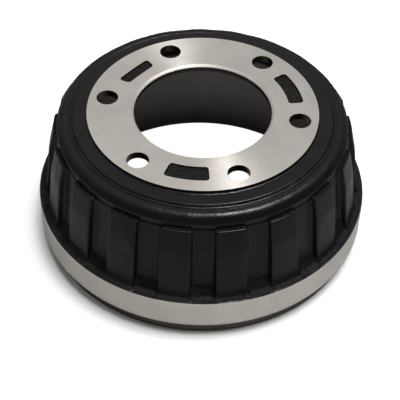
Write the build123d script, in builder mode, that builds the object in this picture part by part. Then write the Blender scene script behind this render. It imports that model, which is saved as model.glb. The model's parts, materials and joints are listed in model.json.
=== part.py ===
import os

from build123d import *

# Cast-iron brake drum for a 17.5 inch wheel end: an open drum, closed at the top by a
# bolting flange. Millimetres, +Z up, the drum's axis on Z. The open rim stands on Z = 0,
# so the machined bolting face is at the overall height.

# Bolting flange
overall_height = 155.5
face_diameter = 244.0
face_stand = 3.5  # how far the machined face stands above the cast collar round it
flange_thickness = 8.0
hub_seat_diameter = 230.0  # flat on the underside that bears on the hub

# Pilot bore
bore_diameter = 145.0
bore_chamfer = 2.5

# Bolt holes
bolt_circle_diameter = 205.0
bolt_hole_count = 6
bolt_hole_diameter = 22.5

# Shallow cast pockets in the face, each midway between two bolt holes
pocket_count = 3
pocket_mean_diameter = 197.0
pocket_width = 15.5
pocket_angle = 24.5
pocket_depth = 2.0
pocket_corner_chamfer = 1.4

# Collar, groove and shoulder, from the machined face down to the barrel
collar_width = 15.0
collar_fall = 0.4
groove_width = 2.4
groove_depth = 1.4
shoulder_step = 0.8  # how far the shoulder's crest lies below the collar's edge
shoulder_drop = 9.8  # from the collar's edge down to where the shoulder meets the neck
shoulder_crown = 0.6
shoulder_corner_chamfer = 2.4
neck_height = 7.0

# Friction surface and the cavity above it
friction_diameter = 300.0
friction_width = 100.0
mouth_flare = 3.5  # how far the open end flares out from the friction surface
mouth_height = 8.0
cavity_step = 5.7  # how far the cast cavity above the friction surface stands inwards
cavity_lead = 16.0  # height of the cone between the friction surface and the cavity
cavity_corner_drop = 10.5  # from the hub seat down to the cavity's corner
cavity_corner_chamfer = 6.0

# Barrel wall
neck_wall = 9.0
barrel_foot_wall = 12.6

# Pads, the raised ribs of the barrel, and the gaps between them
pad_count = 18
pad_angle = 11.3
pad_top_step = 4.1  # how far a pad stands out from the neck at its top
pad_foot_step = 6.8  # how far a pad stands out from the barrel at its foot
pad_crown = 2.3
pad_crest_chamfer = 1.2
pad_toe_chamfer = 2.4
gap_root_chamfer = 3.0
gap_floor_drop = 0.8  # how far the gap's floor lies below the pads' foot
cutter_clearance = 6.0  # how far the gap's cutter reaches out into the air

# Machined rim and the lip below it
rim_ledge_width = 9.6  # how far the rim stands out past the pads' foot
rim_height = 33.0
rim_top_fall = 1.6
rim_chamfer = 0.8
lip_step = 7.0  # how far the lip stands back from the rim
lip_height = 18.5

# Radii that follow from the sizes above
face_radius = face_diameter / 2
bore_radius = bore_diameter / 2
bolt_hole_radius = bolt_hole_diameter / 2
hub_seat_radius = hub_seat_diameter / 2
collar_radius = face_radius + collar_width
groove_outer_radius = collar_radius + groove_width
groove_middle_radius = collar_radius + groove_width / 2
friction_radius = friction_diameter / 2
mouth_radius = friction_radius + mouth_flare
cavity_radius = friction_radius - cavity_step
neck_radius = cavity_radius + neck_wall
barrel_foot_radius = friction_radius + barrel_foot_wall
pad_top_radius = neck_radius + pad_top_step
pad_foot_radius = barrel_foot_radius + pad_foot_step
pocket_inner_radius = (pocket_mean_diameter - pocket_width) / 2
pocket_outer_radius = (pocket_mean_diameter + pocket_width) / 2
rim_radius = pad_foot_radius + rim_ledge_width
lip_radius = rim_radius - lip_step

# Heights that follow from the sizes above
hub_seat_height = overall_height - flange_thickness
cavity_corner_height = hub_seat_height - cavity_corner_drop
collar_height = overall_height - face_stand
collar_edge_height = collar_height - collar_fall
crest_height = collar_edge_height - shoulder_step
groove_floor_height = collar_edge_height - groove_depth
neck_top_height = collar_edge_height - shoulder_drop
pad_top_height = neck_top_height - neck_height
rim_top_height = lip_height + rim_height
rim_root_height = rim_top_height + rim_top_fall
friction_top_height = mouth_height + friction_width

gap_angle = 360 / pad_count - pad_angle
pocket_start_angle = 180 / bolt_hole_count

# One gap between two pads, as the solid that is taken out of the ring. Its chamfered inner
# edges leave a sloping root beside each pad and a sloping foot above the rim.
with BuildPart() as gap:
    with BuildSketch(Plane.XZ.rotated((0, 0, -gap_angle / 2))) as gap_section:
        with BuildLine() as gap_outline:
            barrel_top = (neck_radius, pad_top_height)
            barrel_foot = (barrel_foot_radius, rim_root_height - gap_floor_drop)
            air_foot = (rim_radius, rim_root_height - gap_floor_drop)
            air_top = (rim_radius, pad_top_height + cutter_clearance)
            Polyline(barrel_top, barrel_foot, air_foot, air_top, close=True)
        make_face()
    revolve(axis=Axis.Z, revolution_arc=gap_angle)
    barrel_wall = gap.faces().sort_by(Axis.X)[0]
    chamfer(barrel_wall.edges().sort_by(Axis.Z)[0:3], gap_root_chamfer)

# One cast pocket's outline, with its middle on the X axis
with BuildSketch() as pocket:
    with BuildLine() as pocket_outline:
        inner_arc = CenterArc((0, 0), pocket_inner_radius, -pocket_angle / 2, pocket_angle)
        outer_arc = CenterArc((0, 0), pocket_outer_radius, -pocket_angle / 2, pocket_angle)
        Line(inner_arc @ 0, outer_arc @ 0)
        Line(inner_arc @ 1, outer_arc @ 1)
    make_face()
    chamfer(pocket.vertices(), pocket_corner_chamfer)

with BuildPart() as drum:
    # The drum's section, with the pads as a solid ring
    with BuildSketch(Plane.XZ) as section:
        with BuildLine() as outline:
            # Machined face, collar and groove
            Polyline(
                (bore_radius + bore_chamfer, overall_height),
                (face_radius, overall_height),
                (face_radius, collar_height),
                (collar_radius, collar_edge_height),
                (groove_middle_radius, groove_floor_height),
                (groove_outer_radius, crest_height),
            )
            # Shoulder, neck, pads and the rim's sloping top
            SagittaArc((groove_outer_radius, crest_height), (neck_radius, neck_top_height), shoulder_crown)
            Polyline(
                (neck_radius, neck_top_height),
                (neck_radius, pad_top_height),
                (pad_top_radius, pad_top_height),
            )
            SagittaArc((pad_top_radius, pad_top_height), (pad_foot_radius, rim_root_height), pad_crown)
            # Rim, lip, flared mouth, friction surface, cavity and hub seat
            Polyline(
                (pad_foot_radius, rim_root_height),
                (rim_radius - rim_chamfer, rim_top_height),
                (rim_radius, rim_top_height - rim_chamfer),
                (rim_radius, lip_height),
                (lip_radius, lip_height),
                (lip_radius, 0),
                (mouth_radius, 0),
                (friction_radius, mouth_height),
                (friction_radius, friction_top_height),
                (cavity_radius, friction_top_height + cavity_lead),
                (cavity_radius, cavity_corner_height),
                (hub_seat_radius, hub_seat_height),
                (bore_radius, hub_seat_height),
                (bore_radius, overall_height - bore_chamfer),
                (bore_radius + bore_chamfer, overall_height),
            )
        make_face()
        for corner, length in (
            ((neck_radius, neck_top_height), shoulder_corner_chamfer),
            ((pad_top_radius, pad_top_height), pad_crest_chamfer),
            ((pad_foot_radius, rim_root_height), pad_toe_chamfer),
            ((cavity_radius, cavity_corner_height), cavity_corner_chamfer),
        ):
            chamfer(section.vertices().sort_by_distance(corner)[0], length)
    revolve(axis=Axis.Z)

    with PolarLocations(0, pad_count):
        add(gap.part, mode=Mode.SUBTRACT)

    with BuildSketch(Plane.XY.offset(overall_height)):
        with PolarLocations(0, pocket_count, start_angle=pocket_start_angle):
            add(pocket.sketch)
    extrude(amount=-pocket_depth, mode=Mode.SUBTRACT)

    with Locations(Plane.XY.offset(overall_height)):
        with PolarLocations(bolt_circle_diameter / 2, bolt_hole_count):
            Hole(bolt_hole_radius, depth=2 * flange_thickness)

drum.part.label = "brake_drum"
os.makedirs("parts", exist_ok=True)
export_step(drum.part, "parts/brake_drum.step")
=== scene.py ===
import json
import math

import bpy
import numpy as np
from mathutils import Matrix, Vector
from mathutils.geometry import delaunay_2d_cdt


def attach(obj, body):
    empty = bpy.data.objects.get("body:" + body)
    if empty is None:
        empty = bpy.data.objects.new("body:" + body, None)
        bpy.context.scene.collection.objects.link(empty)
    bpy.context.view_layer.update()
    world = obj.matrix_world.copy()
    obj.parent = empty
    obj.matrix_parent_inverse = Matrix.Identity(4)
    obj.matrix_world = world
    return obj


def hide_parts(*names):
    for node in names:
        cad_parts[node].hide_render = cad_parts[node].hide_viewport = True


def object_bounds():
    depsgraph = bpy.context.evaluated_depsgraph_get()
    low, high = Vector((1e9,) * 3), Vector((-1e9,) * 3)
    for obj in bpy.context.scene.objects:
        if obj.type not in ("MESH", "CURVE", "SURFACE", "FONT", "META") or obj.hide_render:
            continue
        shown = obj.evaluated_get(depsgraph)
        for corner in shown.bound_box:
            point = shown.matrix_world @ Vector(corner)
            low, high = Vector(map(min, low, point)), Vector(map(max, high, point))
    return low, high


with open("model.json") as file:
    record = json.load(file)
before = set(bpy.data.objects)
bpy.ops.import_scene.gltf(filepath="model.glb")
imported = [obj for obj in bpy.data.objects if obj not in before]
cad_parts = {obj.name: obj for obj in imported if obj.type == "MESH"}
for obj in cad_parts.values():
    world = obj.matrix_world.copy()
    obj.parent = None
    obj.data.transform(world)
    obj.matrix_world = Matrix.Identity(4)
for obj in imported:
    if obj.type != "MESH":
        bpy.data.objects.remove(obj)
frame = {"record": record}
cadLow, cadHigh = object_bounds()

# Brake drum: one grey-iron casting in black primer, with the bolting face, the pilot bore,
# the rim band and the friction surface turned bare. It stands on its open rim, face up, with
# its axis on Z. Its surface is worked out in millimetres and written in metres.

mm = 0.001
mounts = {mount["name"]: mount for mount in frame["record"]["mounts"]}
bolts = mounts["bolt_holes"]["dims"]


# Sections are rows of (radius, height) points

def straight(start, end, count):
    # Straight stretch whose points crowd towards its ends, so shading stays flat between them.
    t = (1 - np.cos(np.linspace(0, np.pi, count))) / 2
    return np.array(start, float) + t[:, None] * (np.array(end, float) - np.array(start, float))


def rounded(before, corner, after, radius, count):
    # Fillet of one corner: the arc of the given radius that touches both legs, at even turns
    # about its centre, from the touch point on the first leg to the one on the second.
    before, corner, after = (np.array(p, float) for p in (before, corner, after))
    legIn = (before - corner) / np.linalg.norm(before - corner)
    legOut = (after - corner) / np.linalg.norm(after - corner)
    half = math.acos(float(np.clip(legIn @ legOut, -1, 1))) / 2
    middle = (legIn + legOut) / np.linalg.norm(legIn + legOut)
    centre = corner + middle * radius / math.sin(half)
    a = corner + legIn * radius / math.tan(half) - centre
    b = corner + legOut * radius / math.tan(half) - centre
    t = np.linspace(0, math.atan2(a[0] * b[1] - a[1] * b[0], a @ b), count)
    across, along = a[0] * np.cos(t) - a[1] * np.sin(t), a[0] * np.sin(t) + a[1] * np.cos(t)
    return centre + np.stack((across, along), 1)


def section(corners):
    # Rows of a section through corners of (radius, height, fillet, points on the fillet,
    # points on the stretch before it). A fillet of 0 is a plain point.
    spots = [np.array(corner[:2], float) for corner in corners]
    rows = [spots[0][None]]
    for k in range(1, len(corners)):
        fillet, onFillet, onStretch = corners[k][2:]
        if fillet:
            turn = rounded(spots[k - 1], spots[k], spots[k + 1], fillet, onFillet)
        else:
            turn = spots[k][None]
        rows.append(straight(rows[-1][-1], turn[0], onStretch + 2)[1:-1])
        rows.append(turn)
    return np.concatenate(rows)


def ripple(points, length, seed, waves=24):
    # Smooth random field of about -2 to 2: plane waves in random directions, with random
    # phases and wavelengths round the given one, added up.
    draw = np.random.default_rng(seed)
    direction = draw.normal(size=(waves, 3))
    direction /= np.linalg.norm(direction, axis=1)[:, None]
    number = 2 * np.pi / (length * draw.uniform(0.7, 1.8, waves))
    phase = draw.uniform(0, 2 * np.pi, waves)
    total = sum(np.sin(points @ (direction[k] * number[k]) + phase[k]) for k in range(waves))
    return total * math.sqrt(2 / waves)


def circle(radius, height, angles, centre=(0, 0)):
    # Points of a level circle: centre + radius * (cosine, sine) of each angle.
    x, y = centre[0] + radius * np.cos(angles), centre[1] + radius * np.sin(angles)
    return np.stack((x, y, np.full(len(angles), float(height))), 1)


# One closed surface, gathered sheet by sheet, with a finish number for each face
sheetPoints, sheetFaces, sheetFinishes = [], [], []
finishes = [
    "turnedFace", "blackPrimer", "turnedBand", "turnedLip", "boredFriction",
    "castCavity", "drilledHole", "roughCast", "roughLedge", "cutEdge",
]
finishNumber = {name: k for k, name in enumerate(finishes)}


def addPoints(points):
    # Adds points and gives their numbers.
    first = sum(len(p) for p in sheetPoints)
    sheetPoints.append(np.asarray(points, float).reshape(-1, 3))
    return first + np.arange(len(sheetPoints[-1]))


def addFaces(faces, finish):
    # Adds faces, as rows of point numbers, with one finish or one for each face.
    faces = np.asarray(faces, int)
    sheetFaces.append(faces)
    sheetFinishes.append(np.broadcast_to(np.asarray(finish, int), len(faces)))


def addBelt(rows, finish):
    # Quads between rows of point numbers that close round the axis. Rows run down the
    # outside and up the inside, and points run anticlockwise, seen from above.
    a, b = rows[:-1], rows[1:]
    quads = np.stack((a, b, np.roll(b, -1, 1), np.roll(a, -1, 1)), 2)
    addFaces(quads.reshape(-1, 4), np.repeat(np.broadcast_to(finish, len(a)), rows.shape[1]))


def addFlat(loops, keep, finish, upward, inner=()):
    # Triangles of a sheet whose borders are loops of point numbers that exist already. Points
    # in inner are free points inside it. keep picks the triangles that are part of it, from
    # their centres and the loop that each corner is on, -1 for a free point.
    points = np.concatenate(sheetPoints)
    numbers = np.concatenate([*loops, np.asarray(inner, int)])
    edges, first = [], 0
    for loop in loops:
        ring = first + np.arange(len(loop))
        edges += np.stack((ring, np.roll(ring, -1)), 1).tolist()
        first += len(loop)
    flat = [Vector(p) for p in points[numbers][:, :2].tolist()]
    made = delaunay_2d_cdt(flat, edges, [], 0, 1e-7)
    source = np.array([origin[0] for origin in made[3]])
    triangles = source[np.array(made[2])]
    owner = [np.full(len(loop), k) for k, loop in enumerate(loops)] + [np.full(len(inner), -1)]
    owner = np.concatenate(owner)
    chosen = numbers[triangles]
    chosen = chosen[keep(points[chosen].mean(1), owner[triangles])]
    a, b, c = (points[chosen[:, k]][:, :2] for k in range(3))
    turn = (b[:, 0] - a[:, 0]) * (c[:, 1] - a[:, 1]) - (b[:, 1] - a[:, 1]) * (c[:, 0] - a[:, 0])
    wrong = (turn > 0) != upward
    chosen[wrong] = chosen[wrong][:, ::-1]
    addFaces(chosen[np.abs(turn) > 1e-4], finish)  # points in one line span nothing


# Radii and heights of the casting, and points of its section as (radius, height). Heights
# count from the open rim.
drum = {
    "faceHeight": cadHigh.z / mm,
    "faceRadius": 122.0,
    "boreRadius": mounts["pilot_bore"]["dims"]["r_mm"],
    "boreChamfer": 2.5,
    "collarHeight": 152.0,
    "collarRadius": 137.0,
    "crestRadius": 139.4,
    "dip": (141.25, 148.95),  # between the crest and the shoulder
    "shoulder": (148.25, 148.6),
    "shoulderFoot": 141.3,
    "neckRadius": 153.8,
    "neckFoot": 136.2,  # just above the tops of the pads
    "padTopHeight": 134.8,
    "padTopRadius": 158.1,
    "padBreakHeight": 108.0,  # the pads stand steeper below this ring than above it
    "padBreakRadius": 164.3,
    "padToe": (170.8, 52.2),
    "padFoot": (176.4, 51.8),
    "gapSlope": (162.5, 63.5),  # where the floor of a gap turns into its flatter foot
    "gapHollow": (169.6, 52.3),
    "gapFoot": (175.2, 51.5),
    "bandEdge": (178.45, 51.35),  # where the cast foot meets the band's bevel
    "bandBevel": (178.75, 50.95),
    "bandTop": 50.6,
    "bandRadius": cadHigh.x / mm,
    "bandFoot": 18.5,
    "lipRadius": 172.0,
    "mouthRadius": 153.5,
    "mouthHeight": 8.0,
    "frictionRadius": mounts["friction_surface"]["dims"]["r_mm"],
    "frictionTop": 108.0,
    "cavityRadius": 144.3,
    "cavityFoot": 124.0,
    "cavityTop": 138.2,
    "seatRadius": 115.0,
    "seatHeight": mounts["hub_seat"]["pos_m"][2] / mm,
}
pads = {
    "count": 18,
    "radius": 165.0,  # where the widths here are measured
    "halfWidth": 16.3,  # of the top of a pad
    "edgeRadius": 1.4,
    "sideLean": 0.15,  # how much wider a pad is at its root than at its edge, on each side
    "rootRadius": 3.4,
    "height": 5.5,  # typical, to proportion the rounded edge and root
}
# How far the cast skin strays from true, and how long its waves are
castSkin = {
    "swell": 0.09, "swellLength": 26.0,
    "lump": 0.06, "lumpLength": 6.0,
    "raggedTop": 0.112, "raggedFoot": 0.096, "raggedLength": 3.6,
    "mostByFace": 0.3,  # the most that it may stand out near the face and the hub seat
}
sharpFrom = math.radians(34)  # edges flatter than this are shaded smooth

# Half a pitch, in millimetres along the pads' radius from a pad's middle, and how much of
# the pad's height stands there: flat top, quarter-round edge, upright side, quarter-round
# root, gap floor.
edgeTurn = np.radians([30, 60, 90])
rootTurn = np.radians([22, 45, 68, 90])
edgeStart = pads["halfWidth"] - pads["edgeRadius"]
sideFoot = pads["halfWidth"] + pads["sideLean"]
rootStart = sideFoot + pads["rootRadius"]
halfPitch = math.pi * pads["radius"] / pads["count"]
along = np.concatenate((
    np.linspace(0, edgeStart, 6),
    edgeStart + pads["edgeRadius"] * np.sin(edgeTurn),
    [sideFoot],
    rootStart - pads["rootRadius"] * np.cos(rootTurn),
    np.linspace(rootStart, halfPitch, 3)[1:],
))
standing = np.concatenate((
    np.ones(6),
    1 - pads["edgeRadius"] * (1 - np.cos(edgeTurn)) / pads["height"],
    [pads["rootRadius"] / pads["height"]],
    pads["rootRadius"] * (1 - np.sin(rootTurn)) / pads["height"],
    np.zeros(2),
))
pitch = np.concatenate((along, 2 * halfPitch - along[-2:0:-1])) / pads["radius"]
padTurn = 2 * math.pi / pads["count"]
angles = (padTurn / 2 + pitch[None] + padTurn * np.arange(pads["count"])[:, None]).ravel()
raised = np.tile(np.concatenate((standing, standing[-2:0:-1])), pads["count"])

# Upper rows, the same all round: face, collar, groove, shoulder and neck
d = drum
topEdge = d["faceHeight"]
upper = section([
    (d["faceRadius"] - 1.2, topEdge, 0, 0, 0),
    (d["faceRadius"] - 0.3, topEdge, 0, 0, 0),
    (d["faceRadius"] - 0.15, topEdge - 0.15, 0, 0, 0),
    (d["faceRadius"], topEdge - 0.3, 0, 0, 0),
    (d["faceRadius"], d["collarHeight"] + 0.04, 2.2, 6, 1),  # root of the face's wall
    (d["collarRadius"], d["collarHeight"] - 0.35, 1.8, 6, 5),  # collar's edge
    (d["collarRadius"] + 0.65, d["collarHeight"] - 2.25, 0.35, 4, 0),  # floor of the groove
    (d["crestRadius"], d["collarHeight"] - 0.5, 2.0, 7, 0),  # bead outside the groove
    (*d["dip"], 0.4, 3, 0),
    (*d["shoulder"], 9.0, 11, 2),
    (d["neckRadius"], d["shoulderFoot"], 3.0, 6, 3),
    (d["neckRadius"], d["neckFoot"], 0, 0, 2),
])

# Pad and gap rows match one to one, so every point between the two is a blend of them
padRows = section([
    (d["neckRadius"], d["neckFoot"], 0, 0, 0),
    (d["neckRadius"], d["padTopHeight"], 0.3, 4, 0),  # back of the ledge on top
    (d["padTopRadius"] + 0.1, d["padTopHeight"] - 0.35, 1.3, 5, 1),  # crest
    (d["padBreakRadius"], d["padBreakHeight"], 26, 4, 6),
    (*d["padToe"], 4.2, 5, 6),
    (*d["padFoot"], 3.0, 3, 1),
    (*d["bandEdge"], 0, 0, 2),
])
gapRows = section([
    (d["neckRadius"], d["neckFoot"], 0, 0, 0),
    (d["neckRadius"] + 0.2, 133.6, 0, 0, 4),  # the floor leaves the neck
    (d["neckRadius"] + 0.75, 129.0, 0, 0, 4),
    (*d["gapSlope"], 10.0, 5, 16),
    (*d["gapHollow"], 3.5, 3, 0),
    (*d["gapFoot"], 1.2, 3, 0),
    (*d["bandEdge"], 0, 0, 0),
])

# Lower rows, the same all round: band, lip, mouth, friction surface, cavity, hub seat's border
lower = section([
    (*d["bandEdge"], 0, 0, 0),
    (*d["bandBevel"], 0, 0, 0),
    (d["bandRadius"], d["bandTop"], 0, 0, 0),
    (d["bandRadius"], d["bandFoot"], 0.4, 3, 4),
    (d["lipRadius"], d["bandFoot"] + 0.05, 0.7, 4, 1),
    (d["lipRadius"], 0, 0.8, 4, 3),
    (d["mouthRadius"], 0, 0.5, 3, 1),
    (d["frictionRadius"], d["mouthHeight"], 1.0, 3, 1),
    (d["frictionRadius"], d["frictionTop"], 1.5, 3, 6),
    (d["cavityRadius"], d["cavityFoot"], 3, 3, 2),
    (d["cavityRadius"], d["cavityTop"], 9, 7, 1),
    (d["seatRadius"] + 0.2, d["seatHeight"], 0.3, 3, 4),
    (d["seatRadius"] - 0.3, d["seatHeight"], 0, 0, 0),
])

# Each point of the shell: gap row + raised * (pad row - gap row), turned to its angle
common = np.concatenate((upper[:-1], np.zeros((len(padRows), 2)), lower[1:]))
start, end = len(upper) - 1, len(upper) - 1 + len(padRows)
padSide, gapSide = common.copy(), common.copy()
padSide[start:end], gapSide[start:end] = padRows, gapRows
rows = gapSide[:, None] + raised[None, :, None] * (padSide - gapSide)[:, None]
shell = np.stack((rows[..., 0] * np.cos(angles), rows[..., 0] * np.sin(angles), rows[..., 1]), 2)

# The cast skin isn't true: it swells and dips a little, and is ragged on top of the pads and
# along their feet. It fades in over a few rows from the root of the face's wall and out over
# as many above the band, so that the turned rows stay true.
radius, height = padSide[:, 0], padSide[:, 1]
index = np.arange(len(common))
wallRoot, byBand, fade = 8, end - 2, 3
outerCast = np.clip((index - wallRoot) / fade, 0, 1) * np.clip((byBand - index) / fade, 0, 1)
roof = (index > end) & (height > d["cavityFoot"] + 2) & (height < d["seatHeight"] - 0.2)
padLedge, footLedge = np.zeros(len(common)), np.zeros(len(common))
padLedge[start + 1:start + 7] = 1  # the ledge on top of a pad, as far as its crest
footLedge[byBand - 7:byBand] = 1  # from low on a pad's toe nearly to the band
rowStep = np.gradient(shell, axis=0)
columnStep = np.roll(shell, -1, 1) - np.roll(shell, 1, 1)
outward = np.cross(rowStep, columnStep)
outward /= np.maximum(np.linalg.norm(outward, axis=2), 1e-9)[..., None]
flatShell = shell.reshape(-1, 3)
swell = ripple(flatShell, castSkin["swellLength"], seed=3).reshape(shell.shape[:2])
lump = ripple(flatShell, castSkin["lumpLength"], seed=5).reshape(shell.shape[:2])
ragged = ripple(flatShell, castSkin["raggedLength"], seed=11).reshape(shell.shape[:2])
skin = (outerCast + roof)[:, None] * (castSkin["swell"] * swell + castSkin["lump"] * lump)
skin += (castSkin["raggedTop"] * padLedge + castSkin["raggedFoot"] * footLedge)[:, None] * ragged
byFace = radius < d["collarRadius"] - 2
skin[byFace] = np.minimum(skin[byFace], castSkin["mostByFace"])
shell += outward * skin[..., None]

# Which finish each belt of quads between two rows gets
belt = np.full(len(common) - 1, finishNumber["blackPrimer"])
middleHeight = (height[1:] + height[:-1]) / 2
middleRadius = (radius[1:] + radius[:-1]) / 2
below = np.arange(len(belt)) >= end - 1  # from the band down, and the inside
outside = middleRadius > d["lipRadius"] - 0.5
belt[:start][middleHeight[:start] > topEdge - 0.05] = finishNumber["turnedFace"]
# The ledges on top of the pads take the darker black, painted shade under the shoulder
belt[(padLedge[1:] > 0) & (padLedge[:-1] > 0)] = finishNumber["roughLedge"]
# The pads' feet take the darker rough black, painted shade at their roots
belt[footLedge[1:] > 0] = finishNumber["roughCast"]
belt[below & outside & (middleHeight < d["bandTop"])] = finishNumber["turnedBand"]
belt[below & outside & (middleHeight > d["bandTop"])] = finishNumber["cutEdge"]
# The lip takes darker iron, painted shade under the band
byLip = (middleRadius < d["lipRadius"] + 6.5) & (middleHeight < d["bandFoot"] + 0.2)
belt[below & byLip] = finishNumber["turnedLip"]
# The friction surface takes darker iron, painted shade inside the drum
bored = (middleRadius < d["mouthRadius"] + 0.1) & (middleHeight < d["frictionTop"] + 4)
belt[below & bored] = finishNumber["boredFriction"]
belt[below & (middleHeight >= d["frictionTop"] + 4)] = finishNumber["castCavity"]
shellNumbers = addPoints(shell).reshape(shell.shape[:2])
addBelt(shellNumbers, belt)

# Pilot bore, from the hub seat up to the face
bore = section([
    (d["boreRadius"] + 0.5, d["seatHeight"], 0, 0, 0),
    (d["boreRadius"], d["seatHeight"] + 0.5, 0, 0, 0),
    (d["boreRadius"], topEdge - d["boreChamfer"], 0.3, 3, 2),
    (d["boreRadius"] + d["boreChamfer"], topEdge, 0, 0, 1),
])
boreNumbers = addPoints(np.stack([circle(r, z, angles) for r, z in bore])).reshape(len(bore), -1)
boreBelt = np.full(len(bore) - 1, finishNumber["cutEdge"])
# The bore's wall below its chamfer takes the darkest iron, painted shade
boreBelt[bore[1:, 1] < topEdge - d["boreChamfer"] + 0.1] = finishNumber["drilledHole"]
addBelt(boreNumbers, boreBelt)

# Bolt holes: wall and two small chamfers
boltHoles = {
    "count": bolts["count"],
    "circle": bolts["pcd_mm"] / 2,
    "radius": bolts["hole_r_mm"],
    "chamfer": 0.3,
    "sides": 64,
}
holeAngles = np.linspace(0, 2 * math.pi, boltHoles["sides"] + 1)[:-1]
narrow, wide = boltHoles["radius"], boltHoles["radius"] + boltHoles["chamfer"]
holeRows = [
    (wide, d["seatHeight"]), (narrow, d["seatHeight"] + boltHoles["chamfer"]),
    (narrow, topEdge - boltHoles["chamfer"]), (wide, topEdge),
]
holeLoops = []
for k in range(boltHoles["count"]):
    turn = 2 * math.pi * k / boltHoles["count"]
    middle = (boltHoles["circle"] * math.cos(turn), boltHoles["circle"] * math.sin(turn))
    hole = np.stack([circle(r, z, holeAngles, middle) for r, z in holeRows])
    numbers = addPoints(hole).reshape(len(holeRows), -1)
    # The hole's walls take the darkest iron, painted shade
    addBelt(numbers, finishNumber["drilledHole"])
    holeLoops.append((numbers[0], numbers[-1]))

# Cast pockets in the face: curved slots with rounded corners and drafted sides. They aren't
# quite alike. For each: the angle and radius of its middle, its width, the angle that it is
# long, and how far its ends lie outside the ring through its middle.
pockets = {
    "depth": 2.0,
    "corner": 3.6,
    "floorInset": 0.9,  # how much smaller the floor is, on each side, than the mouth
    "floorRough": 0.17,  # typical height of its lumps
    "floorMost": 0.45,  # height that no lump passes
    "floorGrain": 3.2,  # their wavelength
    "gridInset": (2.0, 1.9),  # how far its free points stay inside the mouth, along and across
    "each": [
        {"turn": 29.9, "middle": 99.4, "wide": 16.1, "long": 27.7, "bow": 0.0},
        {"turn": 149.2, "middle": 93.8, "wide": 12.8, "long": 25.4, "bow": 1.8},
        {"turn": 270.5, "middle": 97.5, "wide": 19.4, "long": 25.4, "bow": 0.0},
    ],
}


def bent(pocket, u, v, height):
    # Angle round the axis: turn + u / middle. Radius: middle + v + bow * (u / half length)^2.
    turned = math.radians(pocket["turn"]) + u / pocket["middle"]
    share = u / (math.radians(pocket["long"] / 2) * pocket["middle"])
    reach = pocket["middle"] + v + pocket["bow"] * share**2
    level = np.full(np.shape(u), float(height))
    return np.stack((reach * np.cos(turned), reach * np.sin(turned), level), -1)


def inPocket(pocket, points, inset):
    # The same bend undone, to tell whether points lie in the slot.
    turned = np.arctan2(points[:, 1], points[:, 0]) - math.radians(pocket["turn"])
    turned = (turned + np.pi) % (2 * np.pi) - np.pi
    share = turned / math.radians(pocket["long"] / 2)
    v = np.hypot(points[:, 0], points[:, 1]) - pocket["middle"] - pocket["bow"] * share**2
    return (np.abs(share) < 1) & (np.abs(v) < pocket["wide"] / 2 - inset)


def pocketLoop(pocket, inset, height):
    # The slot's outline moved in by inset: its straightened shape is a rectangle with
    # quarter-round corners, u along it and v across it, bent back round the axis.
    corner = pockets["corner"] - inset
    halfLong = math.radians(pocket["long"] / 2) * pocket["middle"] - inset
    halfWide = pocket["wide"] / 2 - inset
    t = np.linspace(0, np.pi / 2, 7)
    x, y = halfLong - corner + corner * np.cos(t), halfWide - corner + corner * np.sin(t)
    side = np.linspace(1, -1, 22)[1:-1] * (halfLong - corner)
    end = np.linspace(-1, 1, 8)[1:-1] * (halfWide - corner)
    atEnd, atSide = np.full(len(end), halfLong), np.full(len(side), halfWide)
    u = np.concatenate((x, side, -x[::-1], -atEnd, -x, -side, x[::-1], atEnd))
    v = np.concatenate((y, atSide, y[::-1], -end, -y, -atSide, -y[::-1], end))
    return bent(pocket, u, v, height)


# (inset, depth) up the pocket's wall, rounded at its foot and at its edge
depth = pockets["depth"]
pocketWall = [
    (pockets["floorInset"], depth), (0.62, depth - 0.1), (0.42, depth - 0.4),
    (0.25, 0.35), (0.14, 0.12), (0.0, 0.0),
]
pocketTops = []
for k, pocket in enumerate(pockets["each"]):
    loops = np.stack([pocketLoop(pocket, inset, topEdge - fall) for inset, fall in pocketWall])
    numbers = addPoints(loops).reshape(len(pocketWall), -1)
    # Walls and floor of the pocket take the darker rough black, painted shade in the hollow
    addBelt(numbers[:, ::-1], finishNumber["roughCast"])
    halfLong = math.radians(pocket["long"] / 2) * pocket["middle"] - pockets["gridInset"][0]
    halfWide = pocket["wide"] / 2 - pockets["gridInset"][1]
    u, v = np.meshgrid(np.linspace(-1, 1, 35) * halfLong, np.linspace(-1, 1, 12) * halfWide)
    floorPoints = bent(pocket, u, v, topEdge - depth).reshape(-1, 3)
    lumps = pockets["floorRough"] * ripple(floorPoints, pockets["floorGrain"], seed=21 + k)
    floorPoints[:, 2] += np.clip(lumps, -pockets["floorMost"], pockets["floorMost"])
    floorNumbers = addPoints(floorPoints)
    # On the hollow side of the slot, the triangles that only span its border aren't floor
    addFlat(
        [numbers[0]],
        lambda centre, owner: (owner.min(1) < 0) | inPocket(pocket, centre, pockets["floorInset"]),
        finishNumber["roughCast"], True, floorNumbers,
    )
    pocketTops.append(numbers[-1])


# Flat faces with holes in them. Their loops are the outer circle, the bore, the bolt holes and
# then the pockets.

def inRing(centre, owner, outer):
    # Part of a flat ring: between its circles, in no bolt hole and in no pocket.
    reach = np.hypot(centre[:, 0], centre[:, 1])
    part = (reach < outer) & (reach > d["boreRadius"])
    same = (owner[:, 0] == owner[:, 1]) & (owner[:, 1] == owner[:, 2])
    part &= ~(same & (owner[:, 0] > 0) & (owner[:, 0] <= 1 + boltHoles["count"]))
    for k, pocket in enumerate(pockets["each"]):
        part &= ~(same & (owner[:, 0] == 2 + boltHoles["count"] + k) & inPocket(pocket, centre, 0))
    return part


addFlat(
    [shellNumbers[0], boreNumbers[-1], *[loops[1] for loops in holeLoops], *pocketTops],
    lambda centre, owner: inRing(centre, owner, d["faceRadius"]), finishNumber["turnedFace"], True,
)
addFlat(
    [shellNumbers[-1], boreNumbers[0], *[loops[0] for loops in holeLoops]],
    lambda centre, owner: inRing(centre, owner, d["seatRadius"]), finishNumber["turnedFace"], False,
)

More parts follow.
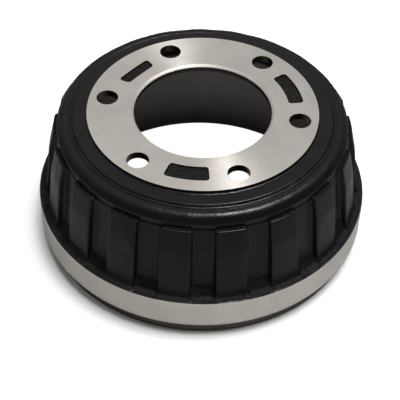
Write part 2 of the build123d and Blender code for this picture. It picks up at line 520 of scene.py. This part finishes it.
points = np.concatenate(sheetPoints) * mm
sizes = np.concatenate([np.full(len(faces), faces.shape[1]) for faces in sheetFaces])
corners = np.concatenate([faces.ravel() for faces in sheetFaces])
mesh = bpy.data.meshes.new("brakeDrumCasting")
mesh.vertices.add(len(points))
mesh.vertices.foreach_set("co", points.ravel())
mesh.loops.add(len(corners))
mesh.loops.foreach_set("vertex_index", corners)
mesh.polygons.add(len(sizes))
mesh.polygons.foreach_set("loop_start", np.concatenate(([0], np.cumsum(sizes)[:-1])))
mesh.polygons.foreach_set("material_index", np.concatenate(sheetFinishes))
mesh.polygons.foreach_set("use_smooth", np.ones(len(sizes), bool))
mesh.update(calc_edges=True)
mesh.validate()
mesh.set_sharp_from_angle(angle=sharpFrom)
casting = bpy.data.objects.new("brakeDrumCasting", mesh)
bpy.context.scene.collection.objects.link(casting)
print("casting:", len(points), "points,", int((sizes - 2).sum()), "triangles")


# Materials

def colour(hexCode):
    # sRGB hex to linear
    parts = [int(hexCode[k:k + 2], 16) / 255 for k in (0, 2, 4)]
    return (*[p / 12.92 if p <= 0.04045 else ((p + 0.055) / 1.055) ** 2.4 for p in parts], 1.0)


def addNode(tree, kind, values=None, **settings):
    # Adds a node, sets its settings, and fills each input with a value or links it to a socket.
    node = tree.nodes.new("ShaderNode" + kind)
    for name, value in settings.items():
        setattr(node, name, value)
    for name, value in (values or {}).items():
        if isinstance(value, bpy.types.NodeSocket):
            tree.links.new(value, node.inputs[name])
        else:
            node.inputs[name].default_value = value
    return node


def newMaterial(name):
    # An empty node material and its tree.
    material = bpy.data.materials.new(name)
    material.use_nodes = True
    material.node_tree.nodes.clear()
    return material, material.node_tree


turned = {
    "feed": 1.3,  # mm between tool marks: five times the real feed, so that they show
    "markLength": 90.0,  # mm that a mark keeps its shade round the axis
    "grain": 1.6,  # mm, soft mottle of graphite in the iron
    "cloud": 30.0,  # mm, slow change of tone
    "contrast": 0.1,  # of the lightest and darkest iron against the plain colour
    "uneven": 0.02,  # how much the roughness goes up and down
    "markShare": 0.4,  # of the marks in the mottle
    "markStrength": 0.12,
}
primer = {
    "sand": 1.5,  # mm, grain of the mould's sand, three times the real grain, so that it shows
    "pebble": 2.8,  # mm, coarser lumps of the mould's face
    "cloud": 24.0,  # mm, where the coat is thicker or thinner
    "uneven": 0.05,  # how much the roughness goes up and down
}


def ringNoise(tree, place, feed, along):
    # Noise drawn out into rings: fine steps in radius and height, long ones round the axis.
    axes = addNode(tree, "SeparateXYZ", {0: place})
    flat = addNode(tree, "CombineXYZ", {0: axes.outputs[0], 1: axes.outputs[1]})
    radius = addNode(tree, "VectorMath", {0: flat.outputs[0]}, operation="LENGTH")
    depth = addNode(tree, "Math", {0: radius.outputs["Value"], 1: axes.outputs[2]}, operation="ADD")
    lengths = ((axes.outputs[0], along), (axes.outputs[1], along), (depth.outputs[0], feed))
    steps = []
    for socket, length in lengths:
        step = addNode(tree, "Math", {0: socket, 1: 1 / (length * mm)}, operation="MULTIPLY")
        steps.append(step.outputs[0])
    where = addNode(tree, "CombineXYZ", {0: steps[0], 1: steps[1], 2: steps[2]}).outputs[0]
    noise = {"Vector": where, "Scale": 1.0, "Detail": 2.0, "Roughness": 0.6}
    return addNode(tree, "TexNoise", noise).outputs["Fac"]


def turnedIron(name, hexCode, roughness, anisotropy, markDepth):
    # Grey iron turned on a lathe: warm grey metal whose fine circular tool marks draw the
    # lamp's reflection out into two wedges across the face. markDepth is in mm.
    material, tree = newMaterial(name)
    place = addNode(tree, "TexCoord").outputs["Object"]
    marks = ringNoise(tree, place, turned["feed"], turned["markLength"])
    mottle = addNode(tree, "TexNoise", {
        "Vector": place, "Scale": 1 / (turned["grain"] * mm), "Detail": 3.0, "Roughness": 0.65,
    }).outputs["Fac"]
    cloud = addNode(tree, "TexNoise", {
        "Vector": place, "Scale": 1 / (turned["cloud"] * mm), "Detail": 2.0,
    }).outputs["Fac"]
    fine = addNode(tree, "Math", {
        0: marks, 1: turned["markShare"], 2: mottle,
    }, operation="MULTIPLY_ADD").outputs[0]
    mixed = addNode(tree, "Math", {0: fine, 1: cloud}, operation="ADD").outputs[0]
    # Input ranges are about what the noises cover
    spread = addNode(tree, "MapRange", {"Value": mixed, "From Min": 0.85, "From Max": 1.55})
    base = colour(hexCode)[:3]
    dark = (*[part * (1 - turned["contrast"]) for part in base], 1.0)
    light = (*[min(1.0, part * (1 + turned["contrast"])) for part in base], 1.0)
    tone = addNode(tree, "Mix", {0: spread.outputs[0], 6: dark, 7: light}, data_type="RGBA")
    dull = addNode(tree, "MapRange", {
        "Value": fine, "From Min": 0.4, "From Max": 1.0,
        "To Min": roughness - turned["uneven"], "To Max": roughness + turned["uneven"],
    })
    bump = addNode(tree, "Bump", {
        "Height": marks, "Strength": turned["markStrength"], "Distance": markDepth * mm,
    })
    circular = addNode(tree, "Tangent", direction_type="RADIAL", axis="Z")
    shader = addNode(tree, "BsdfPrincipled", {
        "Base Color": tone.outputs[2], "Metallic": 1.0, "Roughness": dull.outputs[0],
        "Anisotropic": anisotropy, "Anisotropic Rotation": 0.25,
        "Tangent": circular.outputs[0], "Normal": bump.outputs[0],
    })
    addNode(tree, "OutputMaterial", {"Surface": shader.outputs[0]})
    return material


def castPrimer(name, hexCode, thinHex, roughness, gloss, grainDepth):
    # Black water-based primer, sprayed over sand-cast iron: near black, satin, with the sand's
    # grain standing through it, so that highlights break up into sparkles. thinHex is its
    # colour where the coat is thin, gloss its specular level, and grainDepth is in mm.
    material, tree = newMaterial(name)
    place = addNode(tree, "TexCoord").outputs["Object"]
    sand = addNode(tree, "TexNoise", {
        "Vector": place, "Scale": 1 / (primer["sand"] * mm), "Detail": 3.0, "Roughness": 0.6,
    }).outputs["Fac"]
    pebble = addNode(tree, "TexNoise", {
        "Vector": place, "Scale": 1 / (primer["pebble"] * mm), "Detail": 1.0,
    }).outputs["Fac"]
    cloud = addNode(tree, "TexNoise", {
        "Vector": place, "Scale": 1 / (primer["cloud"] * mm), "Detail": 3.0,
    }).outputs["Fac"]
    tone = addNode(tree, "Mix", {
        0: cloud, 6: colour(hexCode), 7: colour(thinHex),
    }, data_type="RGBA")
    dull = addNode(tree, "MapRange", {
        "Value": cloud, "From Min": 0.3, "From Max": 0.7,
        "To Min": roughness - primer["uneven"], "To Max": roughness + primer["uneven"],
    })
    grain = addNode(tree, "Math", {0: sand, 1: pebble}, operation="ADD").outputs[0]
    bump = addNode(tree, "Bump", {"Height": grain, "Strength": 1.0, "Distance": grainDepth * mm})
    shader = addNode(tree, "BsdfPrincipled", {
        "Base Color": tone.outputs[2], "Metallic": 0.0, "Roughness": dull.outputs[0], "IOR": 1.55,
        "Specular IOR Level": gloss, "Normal": bump.outputs[0],
    })
    addNode(tree, "OutputMaterial", {"Surface": shader.outputs[0]})
    return material


looks = {
    # Bright and even, with the lamp's reflection drawn out into two wedges
    "turnedFace": turnedIron(
        "turnedFaceIron", "b9b4ae", roughness=0.222, anisotropy=0.844, markDepth=0.04),
    # Pale and duller than the face, so that it shades softly round the rim
    "turnedBand": turnedIron(
        "turnedBandIron", "b2ada6", roughness=0.4, anisotropy=0.6, markDepth=0.03),
    # A thin light line along an edge that was only broken with the tool
    "cutEdge": turnedIron(
        "cutEdgeIron", "b9b4ae", roughness=0.55, anisotropy=0.2, markDepth=0.03),
    # Mid grey under the band, darker than the band as painted shade under its overhang
    "turnedLip": turnedIron(
        "turnedLipIron", "5a5754", roughness=0.45, anisotropy=0.5, markDepth=0.03),
    # Smooth dark grey inside, where the shoes run, darkened as painted shade inside the drum
    "boredFriction": turnedIron(
        "boredFrictionIron", "4b4846", roughness=0.4, anisotropy=0.5, markDepth=0.03),
    # Darkest of the bare iron, painted shade so that the bore and the bolt holes read as deep
    "drilledHole": turnedIron(
        "drilledHoleIron", "3a3836", roughness=0.45, anisotropy=0.3, markDepth=0.03),
    # Near black and satin, sparkling along every rounded edge
    "blackPrimer": castPrimer(
        "blackPrimerOnCastIron", "0d0d0e", "131314", roughness=0.32, gloss=0.1, grainDepth=0.17),
    # Dry, dusty black that hardly shines, inside, where the spray barely reached
    "castCavity": castPrimer(
        "dustyCastCavity", "0d0c0c", "141313", roughness=0.6, gloss=0.05, grainDepth=0.4),
    # Coarse black that breaks the light up, in the pockets and at the pads' feet, darker than the
    # primer as painted shade in these hollows
    "roughCast": castPrimer(
        "roughCastPrimer", "080808", "0e0e0e", roughness=0.48, gloss=0.07, grainDepth=1.0),
    # Ragged black that hardly shines, darker than the primer as painted shade on top of the pads,
    # under the shoulder
    "roughLedge": castPrimer(
        "roughLedgePrimer", "080808", "0c0c0c", roughness=0.4, gloss=0.03, grainDepth=0.7),
}
for name in finishes:
    mesh.materials.append(looks[name])
print("finishes:", ", ".join(finishes))

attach(casting, "root")
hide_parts("brake_drum")

# Floor and light, turned round the drum together with the camera
studio = {
    "turn": 8.75,
    "floorHalf": 4.0,
    "floorWhite": 0.9,
    "groundWhite": 1.27,  # of the floor as the camera sees it, so that it reads as plain white
    "dimWhite": 0.2,  # of the floor where metal and paint mirror it dimly
    "farRadii": (260, 420),  # mm from the axis, where the mirrored floor dims with distance
    "farDepth": (-100, 200),  # mm behind the axis, where that dimming goes from least to full
    "farLeast": 0.15,
    "besideDepth": (-220, -20),  # mm behind the axis, where the floor dims at any distance
    "besideDim": 0.6,
    "whiteRadius": 160,  # mm, inside the drum's wall, where the floor glows plain white with no shadow, a painted light
    "poolRadii": (50, 135),  # mm, a painted pool of light that the floor glows with under the bore, for metal to mirror: bright within, dim beyond
    "poolDim": 0.06,
    "softbox": {"lean": (0.2, 0.0, 0.98), "angle": 38, "share": 0.85},
    "gleam": {"lean": (0.238, 0.001, 0.972), "angle": 7, "share": 2.2},
    "worldShare": 0.15,  # how bright the surroundings are as they light the drum
    "backdropSide": (-0.15, 1.0, 0.6),  # where the white surroundings are
    "backdropRange": (-0.3, 0.5),  # cosines to that side, where they begin and are in full
    "highLevel": 0.85,  # height in the sky where they are in full
    "darkSide": 0.2,  # how bright the room behind the camera is mirrored
    "leftSide": 0.25,  # how much brighter the surroundings are on the left, dimmer on the right
    "lowSide": 0.25,  # how bright they are near the floor, against those above
}
rigTurn = Matrix.Rotation(math.radians(studio["turn"]), 3, "Z")

half = studio["floorHalf"]
floorCorners = [(-half, -half, 0), (half, -half, 0), (half, half, 0), (-half, half, 0)]
floorMesh = bpy.data.meshes.new("paleFloor")
floorMesh.from_pydata(floorCorners, [], [(0, 1, 2, 3)])
floor = bpy.data.objects.new("paleFloor", floorMesh)
bpy.context.scene.collection.objects.link(floor)

# Matt white paint. It is dimmer where metal and paint mirror the floor behind the drum and
# at its sides. Inside the drum's ring it glows plain white with no shadow, as the ground that
# shows through the bore and the bolt holes, and metal there mirrors a painted pool of light under
# the bore, a glow of the floor and no lamp.
floorLook, tree = newMaterial("paleFloorPaint")
lit, dim, shown = (
    addNode(tree, "BsdfDiffuse", {"Color": (level, level, level, 1)}).outputs[0]
    for level in (studio["floorWhite"], studio["dimWhite"], studio["groundWhite"])
)
rays = addNode(tree, "LightPath").outputs
place = addNode(tree, "TexCoord").outputs["Object"]
backward = rigTurn @ Vector((0, 1, 0))
reach = addNode(tree, "VectorMath", {0: place}, operation="LENGTH").outputs["Value"]
depth = addNode(tree, "VectorMath", {
    0: place, 1: backward,
}, operation="DOT_PRODUCT").outputs["Value"]
near, away = (length * mm for length in studio["farRadii"])
far = addNode(tree, "MapRange", {
    "Value": reach, "From Min": near, "From Max": away,
}, interpolation_type="SMOOTHSTEP").outputs[0]
near, away = (length * mm for length in studio["farDepth"])
behind = addNode(tree, "MapRange", {
    "Value": depth, "From Min": near, "From Max": away,
    "To Min": studio["farLeast"], "To Max": 1.0,
}).outputs[0]
near, away = (length * mm for length in studio["besideDepth"])
beside = addNode(tree, "MapRange", {
    "Value": depth, "From Min": near, "From Max": away,
    "To Min": 0.0, "To Max": studio["besideDim"],
}).outputs[0]
farBehind = addNode(tree, "Math", {0: behind, 1: far}, operation="MULTIPLY").outputs[0]
dimmed = addNode(tree, "Math", {0: beside, 1: farBehind}, operation="MAXIMUM").outputs[0]
dimmed = addNode(tree, "Math", {0: rays["Is Glossy Ray"], 1: dimmed}, operation="MULTIPLY")
matt = addNode(tree, "MixShader", {0: dimmed.outputs[0], 1: lit, 2: dim}).outputs[0]
matt = addNode(tree, "MixShader", {0: rays["Is Camera Ray"], 1: matt, 2: shown}).outputs[0]
# Painted pool of light: inside the drum the floor glows for mirrored rays, brightest under the bore
near, away = (length * mm for length in studio["poolRadii"])
pool = addNode(tree, "MapRange", {
    "Value": reach, "From Min": near, "From Max": away, "To Min": 1.0, "To Max": studio["poolDim"],
}, interpolation_type="SMOOTHSTEP").outputs[0]
mirrored = addNode(tree, "Math", {0: rays["Is Glossy Ray"], 1: pool}, operation="MULTIPLY")
straightOn = addNode(tree, "Math", {
    0: rays["Is Camera Ray"], 1: rays["Is Transmission Ray"],
}, operation="MAXIMUM").outputs[0]
strength = addNode(tree, "Math", {0: straightOn, 1: mirrored.outputs[0]}, operation="MAXIMUM")
ground = addNode(tree, "Emission", {"Color": (1, 1, 1, 1), "Strength": strength.outputs[0]})
# Inside the drum's wall the floor glows plain white to the camera with no shadow, painted light,
# and glows with the painted pool for mirrored rays
inside = addNode(tree, "Math", {0: reach, 1: studio["whiteRadius"] * mm}, operation="LESS_THAN")
seen = addNode(tree, "Math", {0: straightOn, 1: rays["Is Glossy Ray"]}, operation="MAXIMUM")
choice = addNode(tree, "Math", {0: seen.outputs[0], 1: inside.outputs[0]}, operation="MULTIPLY")
both = addNode(tree, "MixShader", {0: choice.outputs[0], 1: matt, 2: ground.outputs[0]})
addNode(tree, "OutputMaterial", {"Surface": both.outputs[0]})
floorMesh.materials.append(floorLook)


def addLamp(name, settings):
    # A round, distant lamp. Its share is the part of a white floor's light that it gives.
    lean = rigTurn @ Vector(settings["lean"]).normalized()
    data = bpy.data.lights.new(name, "SUN")
    data.angle = math.radians(settings["angle"])
    data.energy = math.pi * settings["share"] / lean.z
    lamp = bpy.data.objects.new(name, data)
    lamp.rotation_mode = "QUATERNION"
    lamp.rotation_quaternion = lean.to_track_quat("Z", "Y")
    lamp.location = lean * 2
    bpy.context.scene.collection.objects.link(lamp)
    return lamp


addLamp("overheadSoftbox", studio["softbox"]).visible_glossy = False  # lights, but isn't mirrored
addLamp("gleamLamp", studio["gleam"]).visible_diffuse = False  # only mirrored

# White surroundings, brighter behind the drum, above and to the left where they are mirrored
world = bpy.data.worlds.new("paleStudio")
bpy.context.scene.world = world
world.use_nodes = True
tree = world.node_tree
tree.nodes.clear()
rays = addNode(tree, "LightPath").outputs
facing = addNode(tree, "TexCoord").outputs["Generated"]
backdrop = rigTurn @ Vector(studio["backdropSide"]).normalized()
leftward = rigTurn @ Vector((-1, 0, 0))
towards = addNode(tree, "VectorMath", {0: facing, 1: backdrop}, operation="DOT_PRODUCT")
across = addNode(tree, "VectorMath", {0: facing, 1: leftward}, operation="DOT_PRODUCT")
level = addNode(tree, "SeparateXYZ", {0: facing}).outputs[2]
back = addNode(tree, "MapRange", {
    "Value": towards.outputs["Value"],
    "From Min": studio["backdropRange"][0], "From Max": studio["backdropRange"][1],
    "To Min": studio["darkSide"], "To Max": 1.0,
}, interpolation_type="SMOOTHSTEP").outputs[0]
above = addNode(tree, "MapRange", {
    "Value": level, "From Min": 0.0, "From Max": studio["highLevel"],
    "To Min": studio["lowSide"], "To Max": 1.0,
}, interpolation_type="SMOOTHSTEP").outputs[0]
left = addNode(tree, "MapRange", {
    "Value": across.outputs["Value"], "From Min": -1.0, "From Max": 1.0,
    "To Min": 1 - studio["leftSide"], "To Max": 1 + studio["leftSide"],
}).outputs[0]
mirrored = addNode(tree, "Math", {0: back, 1: above}, operation="MULTIPLY").outputs[0]
mirrored = addNode(tree, "Math", {0: mirrored, 1: left}, operation="MULTIPLY").outputs[0]
visible = addNode(tree, "Math", {0: rays["Is Camera Ray"], 1: mirrored}, operation="MAXIMUM")
straightOn = addNode(tree, "Math", {
    0: rays["Is Camera Ray"], 1: rays["Is Transmission Ray"],
}, operation="MAXIMUM").outputs[0]
seen = addNode(tree, "Math", {0: straightOn, 1: rays["Is Glossy Ray"]}, operation="MAXIMUM")
strength = addNode(tree, "Mix", {
    0: seen.outputs[0], 2: studio["worldShare"], 3: visible.outputs[0],
}, data_type="FLOAT")
sky = addNode(tree, "Background", {"Color": (1, 1, 1, 1), "Strength": strength.outputs[0]})
addNode(tree, "OutputWorld", {"Surface": sky.outputs[0]})
print("floor and light ready")

# Camera, aimed so that the face's centre falls where it should in the frame
cameraRig = {
    "distance": 1207.8,  # mm from the face's centre
    "elevation": 40.84,
    "roll": -1.18,
    "frame": 400,  # pixels on each side
    "focalPixels": 1148.6,
    "facePixel": (202.85, 108.98),  # where the face's centre falls in the frame
    "sensor": 36,
}
elevation = math.radians(cameraRig["elevation"])
back = Vector((0, -math.cos(elevation), math.sin(elevation)))
up = Vector((0, math.sin(elevation), math.cos(elevation)))
axes = Matrix((Vector((1, 0, 0)), up, -back))
rightOf = cameraRig["facePixel"][0] - cameraRig["frame"] / 2
aboveOf = cameraRig["frame"] / 2 - cameraRig["facePixel"][1]
pan = math.atan2(rightOf, cameraRig["focalPixels"])
tilt = math.atan2(aboveOf * math.cos(pan), cameraRig["focalPixels"])
roll = math.radians(cameraRig["roll"])
aim = Matrix.Rotation(pan, 3, "Y") @ Matrix.Rotation(-tilt, 3, "X")
aim = aim @ Matrix.Rotation(roll, 3, "Z") @ axes
right, up, ahead = (rigTurn @ Vector(row) for row in aim)
stand = Vector((0, 0, topEdge * mm)) + rigTurn @ back * cameraRig["distance"] * mm
cameraData = bpy.data.cameras.new("camera")
cameraData.sensor_width = cameraRig["sensor"]
cameraData.lens = cameraRig["sensor"] * cameraRig["focalPixels"] / cameraRig["frame"]
camera = bpy.data.objects.new("camera", cameraData)
camera.matrix_world = Matrix.Translation(stand) @ Matrix((right, up, -ahead)).transposed().to_4x4()
bpy.context.scene.collection.objects.link(camera)
bpy.context.scene.camera = camera
bpy.context.scene.view_settings.view_transform = "Standard"

bpy.context.view_layer.update()
